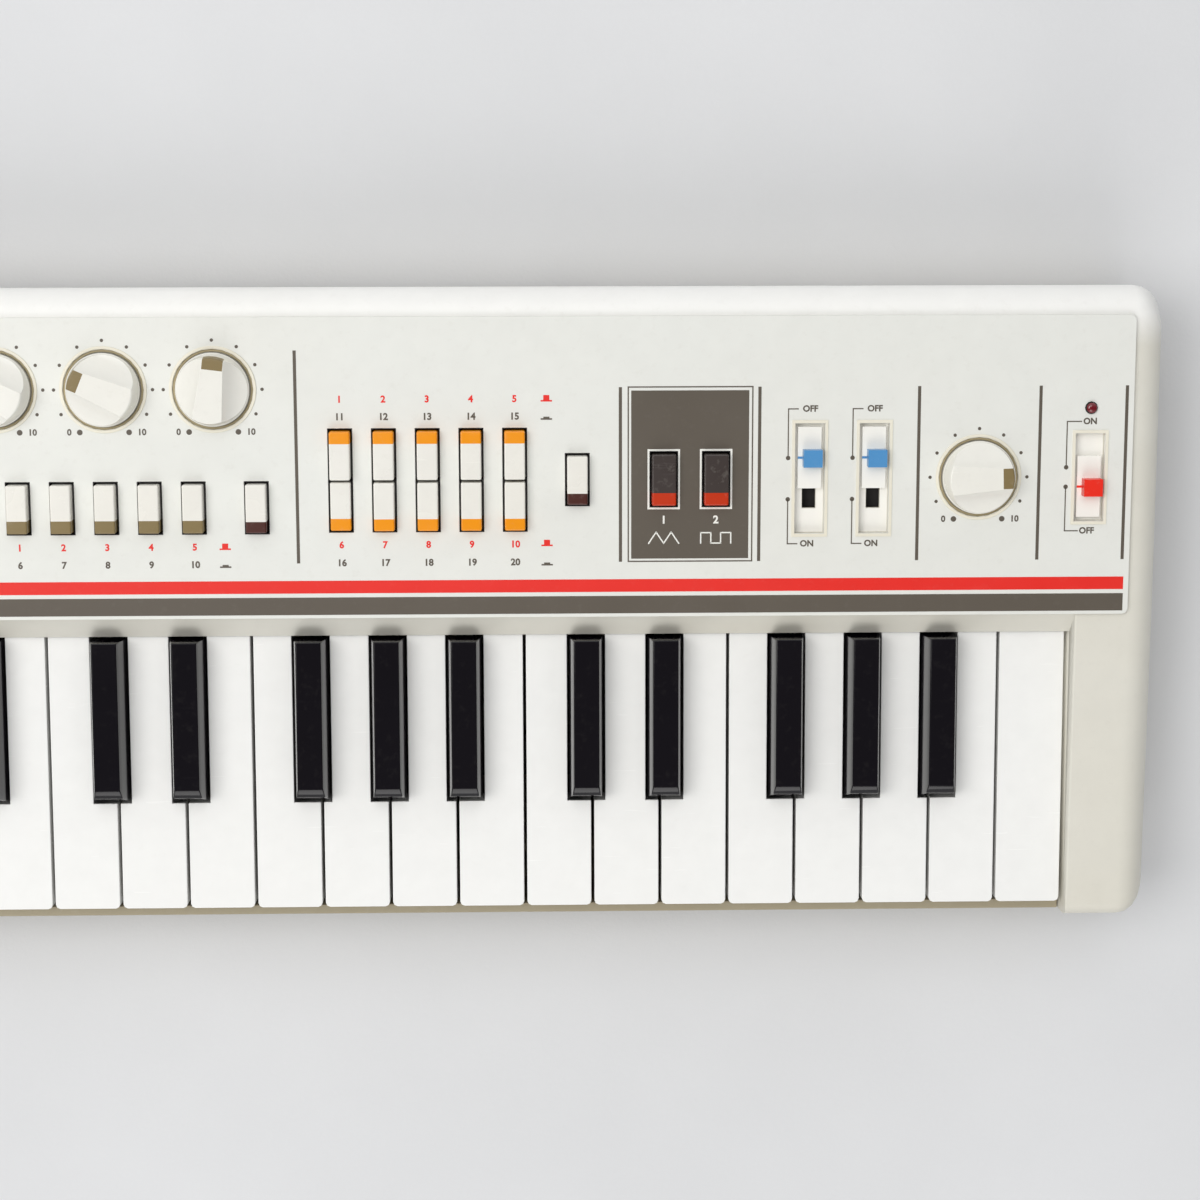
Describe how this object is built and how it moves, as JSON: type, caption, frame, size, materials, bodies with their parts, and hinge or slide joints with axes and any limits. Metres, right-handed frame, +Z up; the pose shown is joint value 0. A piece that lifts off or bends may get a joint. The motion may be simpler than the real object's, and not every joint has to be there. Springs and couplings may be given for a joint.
{
  "type": "portable keyboard",
  "caption": "Portable electronic keyboard with mini keys, sloping control panel with knobs, push buttons and slide switches, an oval speaker and a battery bay underneath.",
  "frame": {"origin": "under the middle of the case, on the plane of the feet", "axes": "+X towards the high notes, +Y towards the rear edge, +Z up"},
  "size_m": [0.58, 0.172, 0.0561],
  "materials": {
    "case_plastic": "fine satin",
    "panel_plate": "smooth printed",
    "white_key": "gloss",
    "black_key": "gloss",
    "control_plastic": "satin",
    "dark_button": "satin",
    "circuit_board": "laminate",
    "contact_rubber": "matt",
    "speaker_steel": "satin"
  },
  "bodies": {
    "case": {"top_case": "case_plastic", "panel_plate": "panel_plate", "bottom_case": "case_plastic", "main_board": "circuit_board", "key_contact_board": "contact_rubber", "speaker": "speaker_steel"},
    "main_volume_knob": {"main_volume_knob": "control_plastic"},
    "power_slider": {"power_slider": "control_plastic"},
    "vibrato_slider": {"vibrato_slider": "control_plastic"},
    "sustain_slider": {"sustain_slider": "control_plastic"},
    "white_key_c6": {"white_key_c6": "white_key"},
    "white_key_e5": {"white_key_e5": "white_key"},
    "black_key_f5_sharp": {"black_key_f5_sharp": "black_key"},
    "black_key_a4_sharp": {"black_key_a4_sharp": "black_key"},
    "tone_button_lower_1": {"tone_button_lower_1": "control_plastic"},
    "tone_button_upper_1": {"tone_button_upper_1": "control_plastic"},
    "tone_button_lower_3": {"tone_button_lower_3": "control_plastic"},
    "tone_select_button": {"tone_select_button": "control_plastic"},
    "modulation_button_1": {"modulation_button_1": "dark_button"},
    "modulation_button_2": {"modulation_button_2": "dark_button"},
    "tempo_knob": {"tempo_knob": "control_plastic"},
    "accompaniment_volume_knob": {"accompaniment_volume_knob": "control_plastic"},
    "rhythm_volume_knob": {"rhythm_volume_knob": "control_plastic"},
    "rhythm_button_1": {"rhythm_button_1": "control_plastic"},
    "rhythm_button_3": {"rhythm_button_3": "control_plastic"},
    "rhythm_select_button": {"rhythm_select_button": "control_plastic"},
    "battery_cover": {"battery_cover": "case_plastic"},
    "white_key_comb_bass": {"white_key_comb_bass": "white_key"},
    "black_key_comb_bass": {"black_key_comb_bass": "black_key"},
    "white_key_c4": {"white_key_c4": "white_key"},
    "white_key_d4": {"white_key_d4": "white_key"},
    "white_key_e4": {"white_key_e4": "white_key"},
    "white_key_f4": {"white_key_f4": "white_key"},
    "white_key_g4": {"white_key_g4": "white_key"},
    "white_key_a4": {"white_key_a4": "white_key"},
    "white_key_b4": {"white_key_b4": "white_key"},
    "white_key_c5": {"white_key_c5": "white_key"},
    "white_key_d5": {"white_key_d5": "white_key"},
    "white_key_f5": {"white_key_f5": "white_key"},
    "white_key_g5": {"white_key_g5": "white_key"},
    "white_key_a5": {"white_key_a5": "white_key"},
    "white_key_b5": {"white_key_b5": "white_key"},
    "black_key_c4_sharp": {"black_key_c4_sharp": "black_key"},
    "black_key_d4_sharp": {"black_key_d4_sharp": "black_key"},
    "black_key_f4_sharp": {"black_key_f4_sharp": "black_key"},
    "black_key_g4_sharp": {"black_key_g4_sharp": "black_key"},
    "black_key_c5_sharp": {"black_key_c5_sharp": "black_key"},
    "black_key_d5_sharp": {"black_key_d5_sharp": "black_key"},
    "black_key_g5_sharp": {"black_key_g5_sharp": "black_key"},
    "black_key_a5_sharp": {"black_key_a5_sharp": "black_key"},
    "tone_button_upper_2": {"tone_button_upper_2": "control_plastic"},
    "tone_button_upper_3": {"tone_button_upper_3": "control_plastic"},
    "tone_button_upper_4": {"tone_button_upper_4": "control_plastic"},
    "tone_button_upper_5": {"tone_button_upper_5": "control_plastic"},
    "tone_button_lower_2": {"tone_button_lower_2": "control_plastic"},
    "tone_button_lower_4": {"tone_button_lower_4": "control_plastic"},
    "tone_button_lower_5": {"tone_button_lower_5": "control_plastic"},
    "rhythm_button_2": {"rhythm_button_2": "control_plastic"},
    "rhythm_button_4": {"rhythm_button_4": "control_plastic"},
    "rhythm_button_5": {"rhythm_button_5": "control_plastic"}
  },
  "joints": [
    {"name": "main_volume_knob_turn", "type": "hinge", "parent": "case", "child": "main_volume_knob", "pos_m": [0.2405, 0.03548, 0.04829], "axis": [0, -0.0349, 0.9994], "range_deg": [-62, 238]},
    {"name": "power_slider_slide", "type": "slide", "parent": "case", "child": "power_slider", "axis": [0, 0.9994, 0.0349], "range_m": [0, 0.0051]},
    {"name": "vibrato_slider_slide", "type": "slide", "parent": "case", "child": "vibrato_slider", "axis": [0, -0.9994, -0.0349], "range_m": [0, 0.011]},
    {"name": "sustain_slider_slide", "type": "slide", "parent": "case", "child": "sustain_slider", "axis": [0, -0.9994, -0.0349], "range_m": [0, 0.011]},
    {"name": "white_key_c6_press", "type": "hinge", "parent": "case", "child": "white_key_c6", "pos_m": [0.2576, 0.0215, 0.029], "axis": [1, 0, 0], "range_deg": [0, 2.5], "stiffness_Nm_per_rad": 0.5, "springref_deg": -3.44},
    {"name": "white_key_e5_press", "type": "hinge", "parent": "case", "child": "white_key_e5", "pos_m": [0.1656, 0.0215, 0.029], "axis": [1, 0, 0], "range_deg": [0, 2.5], "stiffness_Nm_per_rad": 0.5, "springref_deg": -3.44},
    {"name": "black_key_f5_sharp_press", "type": "hinge", "parent": "case", "child": "black_key_f5_sharp", "pos_m": [0.191, 0.0215, 0.029], "axis": [1, 0, 0], "range_deg": [0, 2.5], "stiffness_Nm_per_rad": 0.5, "springref_deg": -3.44},
    {"name": "black_key_a4_sharp_press", "type": "hinge", "parent": "case", "child": "black_key_a4_sharp", "pos_m": [0.1038, 0.0215, 0.029], "axis": [1, 0, 0], "range_deg": [0, 2.5], "stiffness_Nm_per_rad": 0.5, "springref_deg": -3.44},
    {"name": "tone_button_lower_1_release", "type": "slide", "parent": "case", "child": "tone_button_lower_1", "axis": [0, -0.0349, 0.9994], "range_m": [0, 0.0014]},
    {"name": "tone_button_upper_1_press", "type": "slide", "parent": "case", "child": "tone_button_upper_1", "axis": [0, 0.0349, -0.9994], "range_m": [0, 0.0018], "stiffness_N_per_m": 400, "springref_m": -0.0015},
    {"name": "tone_button_lower_3_press", "type": "slide", "parent": "case", "child": "tone_button_lower_3", "axis": [0, 0.0349, -0.9994], "range_m": [0, 0.0018], "stiffness_N_per_m": 400, "springref_m": -0.0015},
    {"name": "tone_select_button_press", "type": "slide", "parent": "case", "child": "tone_select_button", "axis": [0, 0.0349, -0.9994], "range_m": [0, 0.0018], "stiffness_N_per_m": 400, "springref_m": -0.0015},
    {"name": "modulation_button_1_press", "type": "slide", "parent": "case", "child": "modulation_button_1", "axis": [0, 0.0349, -0.9994], "range_m": [0, 0.0018], "stiffness_N_per_m": 400, "springref_m": -0.0015},
    {"name": "modulation_button_2_press", "type": "slide", "parent": "case", "child": "modulation_button_2", "axis": [0, 0.0349, -0.9994], "range_m": [0, 0.0018], "stiffness_N_per_m": 400, "springref_m": -0.0015},
    {"name": "tempo_knob_turn", "type": "hinge", "parent": "case", "child": "tempo_knob", "pos_m": [-0.0187, 0.05946, 0.04913], "axis": [0, -0.0349, 0.9994], "range_deg": [-210, 90]},
    {"name": "accompaniment_volume_knob_turn", "type": "hinge", "parent": "case", "child": "accompaniment_volume_knob", "pos_m": [0.0099, 0.05946, 0.04913], "axis": [0, -0.0349, 0.9994], "range_deg": [-217, 83]},
    {"name": "rhythm_volume_knob_turn", "type": "hinge", "parent": "case", "child": "rhythm_volume_knob", "pos_m": [0.0385, 0.05946, 0.04913], "axis": [0, -0.0349, 0.9994], "range_deg": [-143, 157]},
    {"name": "rhythm_button_1_press", "type": "slide", "parent": "case", "child": "rhythm_button_1", "axis": [0, 0.0349, -0.9994], "range_m": [0, 0.0018], "stiffness_N_per_m": 400, "springref_m": -0.0015},
    {"name": "rhythm_button_3_press", "type": "slide", "parent": "case", "child": "rhythm_button_3", "axis": [0, 0.0349, -0.9994], "range_m": [0, 0.0018], "stiffness_N_per_m": 400, "springref_m": -0.0015},
    {"name": "rhythm_select_button_press", "type": "slide", "parent": "case", "child": "rhythm_select_button", "axis": [0, 0.0349, -0.9994], "range_m": [0, 0.0018], "stiffness_N_per_m": 400, "springref_m": -0.0015},
    {"name": "battery_cover_slide", "type": "slide", "parent": "case", "child": "battery_cover", "axis": [0, 1, 0], "range_m": [0, 0.045]},
    {"name": "white_key_comb_bass_press", "type": "hinge", "parent": "case", "child": "white_key_comb_bass", "pos_m": [0, 0.0215, 0.029], "axis": [1, 0, 0], "range_deg": [0, 2.5], "stiffness_Nm_per_rad": 7, "springref_deg": -3.44},
    {"name": "black_key_comb_bass_press", "type": "hinge", "parent": "case", "child": "black_key_comb_bass", "pos_m": [0, 0.0215, 0.029], "axis": [1, 0, 0], "range_deg": [0, 2.5], "stiffness_Nm_per_rad": 5, "springref_deg": -3.44},
    {"name": "white_key_c4_press", "type": "hinge", "parent": "case", "child": "white_key_c4", "pos_m": [0, 0.0215, 0.029], "axis": [1, 0, 0], "range_deg": [0, 2.5], "stiffness_Nm_per_rad": 0.5, "springref_deg": -3.44},
    {"name": "white_key_d4_press", "type": "hinge", "parent": "case", "child": "white_key_d4", "pos_m": [0.0184, 0.0215, 0.029], "axis": [1, 0, 0], "range_deg": [0, 2.5], "stiffness_Nm_per_rad": 0.5, "springref_deg": -3.44},
    {"name": "white_key_e4_press", "type": "hinge", "parent": "case", "child": "white_key_e4", "pos_m": [0.0368, 0.0215, 0.029], "axis": [1, 0, 0], "range_deg": [0, 2.5], "stiffness_Nm_per_rad": 0.5, "springref_deg": -3.44},
    {"name": "white_key_f4_press", "type": "hinge", "parent": "case", "child": "white_key_f4", "pos_m": [0.0552, 0.0215, 0.029], "axis": [1, 0, 0], "range_deg": [0, 2.5], "stiffness_Nm_per_rad": 0.5, "springref_deg": -3.44},
    {"name": "white_key_g4_press", "type": "hinge", "parent": "case", "child": "white_key_g4", "pos_m": [0.0736, 0.0215, 0.029], "axis": [1, 0, 0], "range_deg": [0, 2.5], "stiffness_Nm_per_rad": 0.5, "springref_deg": -3.44},
    {"name": "white_key_a4_press", "type": "hinge", "parent": "case", "child": "white_key_a4", "pos_m": [0.092, 0.0215, 0.029], "axis": [1, 0, 0], "range_deg": [0, 2.5], "stiffness_Nm_per_rad": 0.5, "springref_deg": -3.44},
    {"name": "white_key_b4_press", "type": "hinge", "parent": "case", "child": "white_key_b4", "pos_m": [0.1104, 0.0215, 0.029], "axis": [1, 0, 0], "range_deg": [0, 2.5], "stiffness_Nm_per_rad": 0.5, "springref_deg": -3.44},
    {"name": "white_key_c5_press", "type": "hinge", "parent": "case", "child": "white_key_c5", "pos_m": [0.1288, 0.0215, 0.029], "axis": [1, 0, 0], "range_deg": [0, 2.5], "stiffness_Nm_per_rad": 0.5, "springref_deg": -3.44},
    {"name": "white_key_d5_press", "type": "hinge", "parent": "case", "child": "white_key_d5", "pos_m": [0.1472, 0.0215, 0.029], "axis": [1, 0, 0], "range_deg": [0, 2.5], "stiffness_Nm_per_rad": 0.5, "springref_deg": -3.44},
    {"name": "white_key_f5_press", "type": "hinge", "parent": "case", "child": "white_key_f5", "pos_m": [0.184, 0.0215, 0.029], "axis": [1, 0, 0], "range_deg": [0, 2.5], "stiffness_Nm_per_rad": 0.5, "springref_deg": -3.44},
    {"name": "white_key_g5_press", "type": "hinge", "parent": "case", "child": "white_key_g5", "pos_m": [0.2024, 0.0215, 0.029], "axis": [1, 0, 0], "range_deg": [0, 2.5], "stiffness_Nm_per_rad": 0.5, "springref_deg": -3.44},
    {"name": "white_key_a5_press", "type": "hinge", "parent": "case", "child": "white_key_a5", "pos_m": [0.2208, 0.0215, 0.029], "axis": [1, 0, 0], "range_deg": [0, 2.5], "stiffness_Nm_per_rad": 0.5, "springref_deg": -3.44},
    {"name": "white_key_b5_press", "type": "hinge", "parent": "case", "child": "white_key_b5", "pos_m": [0.2392, 0.0215, 0.029], "axis": [1, 0, 0], "range_deg": [0, 2.5], "stiffness_Nm_per_rad": 0.5, "springref_deg": -3.44},
    {"name": "black_key_c4_sharp_press", "type": "hinge", "parent": "case", "child": "black_key_c4_sharp", "pos_m": [0.0078, 0.0215, 0.029], "axis": [1, 0, 0], "range_deg": [0, 2.5], "stiffness_Nm_per_rad": 0.5, "springref_deg": -3.44},
    {"name": "black_key_d4_sharp_press", "type": "hinge", "parent": "case", "child": "black_key_d4_sharp", "pos_m": [0.0287, 0.0215, 0.029], "axis": [1, 0, 0], "range_deg": [0, 2.5], "stiffness_Nm_per_rad": 0.5, "springref_deg": -3.44},
    {"name": "black_key_f4_sharp_press", "type": "hinge", "parent": "case", "child": "black_key_f4_sharp", "pos_m": [0.0622, 0.0215, 0.029], "axis": [1, 0, 0], "range_deg": [0, 2.5], "stiffness_Nm_per_rad": 0.5, "springref_deg": -3.44},
    {"name": "black_key_g4_sharp_press", "type": "hinge", "parent": "case", "child": "black_key_g4_sharp", "pos_m": [0.0832, 0.0215, 0.029], "axis": [1, 0, 0], "range_deg": [0, 2.5], "stiffness_Nm_per_rad": 0.5, "springref_deg": -3.44},
    {"name": "black_key_c5_sharp_press", "type": "hinge", "parent": "case", "child": "black_key_c5_sharp", "pos_m": [0.1366, 0.0215, 0.029], "axis": [1, 0, 0], "range_deg": [0, 2.5], "stiffness_Nm_per_rad": 0.5, "springref_deg": -3.44},
    {"name": "black_key_d5_sharp_press", "type": "hinge", "parent": "case", "child": "black_key_d5_sharp", "pos_m": [0.1575, 0.0215, 0.029], "axis": [1, 0, 0], "range_deg": [0, 2.5], "stiffness_Nm_per_rad": 0.5, "springref_deg": -3.44},
    {"name": "black_key_g5_sharp_press", "type": "hinge", "parent": "case", "child": "black_key_g5_sharp", "pos_m": [0.212, 0.0215, 0.029], "axis": [1, 0, 0], "range_deg": [0, 2.5], "stiffness_Nm_per_rad": 0.5, "springref_deg": -3.44},
    {"name": "black_key_a5_sharp_press", "type": "hinge", "parent": "case", "child": "black_key_a5_sharp", "pos_m": [0.2326, 0.0215, 0.029], "axis": [1, 0, 0], "range_deg": [0, 2.5], "stiffness_Nm_per_rad": 0.5, "springref_deg": -3.44},
    {"name": "tone_button_upper_2_press", "type": "slide", "parent": "case", "child": "tone_button_upper_2", "axis": [0, 0.0349, -0.9994], "range_m": [0, 0.0018], "stiffness_N_per_m": 400, "springref_m": -0.0015},
    {"name": "tone_button_upper_3_press", "type": "slide", "parent": "case", "child": "tone_button_upper_3", "axis": [0, 0.0349, -0.9994], "range_m": [0, 0.0018], "stiffness_N_per_m": 400, "springref_m": -0.0015},
    {"name": "tone_button_upper_4_press", "type": "slide", "parent": "case", "child": "tone_button_upper_4", "axis": [0, 0.0349, -0.9994], "range_m": [0, 0.0018], "stiffness_N_per_m": 400, "springref_m": -0.0015},
    {"name": "tone_button_upper_5_press", "type": "slide", "parent": "case", "child": "tone_button_upper_5", "axis": [0, 0.0349, -0.9994], "range_m": [0, 0.0018], "stiffness_N_per_m": 400, "springref_m": -0.0015},
    {"name": "tone_button_lower_2_press", "type": "slide", "parent": "case", "child": "tone_button_lower_2", "axis": [0, 0.0349, -0.9994], "range_m": [0, 0.0018], "stiffness_N_per_m": 400, "springref_m": -0.0015},
    {"name": "tone_button_lower_4_press", "type": "slide", "parent": "case", "child": "tone_button_lower_4", "axis": [0, 0.0349, -0.9994], "range_m": [0, 0.0018], "stiffness_N_per_m": 400, "springref_m": -0.0015},
    {"name": "tone_button_lower_5_press", "type": "slide", "parent": "case", "child": "tone_button_lower_5", "axis": [0, 0.0349, -0.9994], "range_m": [0, 0.0018], "stiffness_N_per_m": 400, "springref_m": -0.0015},
    {"name": "rhythm_button_2_press", "type": "slide", "parent": "case", "child": "rhythm_button_2", "axis": [0, 0.0349, -0.9994], "range_m": [0, 0.0018], "stiffness_N_per_m": 400, "springref_m": -0.0015},
    {"name": "rhythm_button_4_press", "type": "slide", "parent": "case", "child": "rhythm_button_4", "axis": [0, 0.0349, -0.9994], "range_m": [0, 0.0018], "stiffness_N_per_m": 400, "springref_m": -0.0015},
    {"name": "rhythm_button_5_press", "type": "slide", "parent": "case", "child": "rhythm_button_5", "axis": [0, 0.0349, -0.9994], "range_m": [0, 0.0018], "stiffness_N_per_m": 400, "springref_m": -0.0015}
  ]
}
